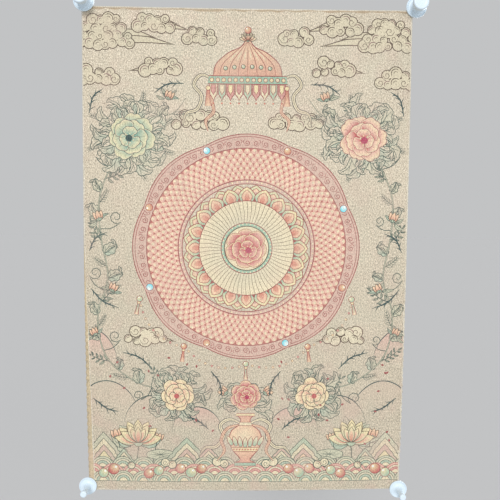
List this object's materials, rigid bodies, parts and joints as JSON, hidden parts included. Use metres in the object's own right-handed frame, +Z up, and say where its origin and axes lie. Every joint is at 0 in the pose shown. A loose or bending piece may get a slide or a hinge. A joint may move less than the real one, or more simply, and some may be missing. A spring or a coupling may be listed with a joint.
{
  "type": "thangka cloth panel with magnetic holders",
  "caption": "Flat gold brocade thangka panel with a picture face, hung upright and pinned at its corners by round white magnetic holders.",
  "frame": {"origin": "middle of the cloth's top edge, on the plane of the board that the cloth hangs against", "axes": "+Z up the cloth, -Y out of its picture face, +Y into the board, +X to the right as seen from the front"},
  "size_m": [0.644, 0.0365, 0.949],
  "materials": {
    "brocade": "gold brocade ground with a fine upright grain, printed face, soft satin sheen",
    "holder_plastic": "smooth white moulded plastic"
  },
  "bodies": {
    "root": {"cloth_panel": "brocade", "holder_top_left": "holder_plastic", "holder_top_right": "holder_plastic", "holder_bottom_left": "holder_plastic", "holder_bottom_right": "holder_plastic"}
  },
  "joints": []
}
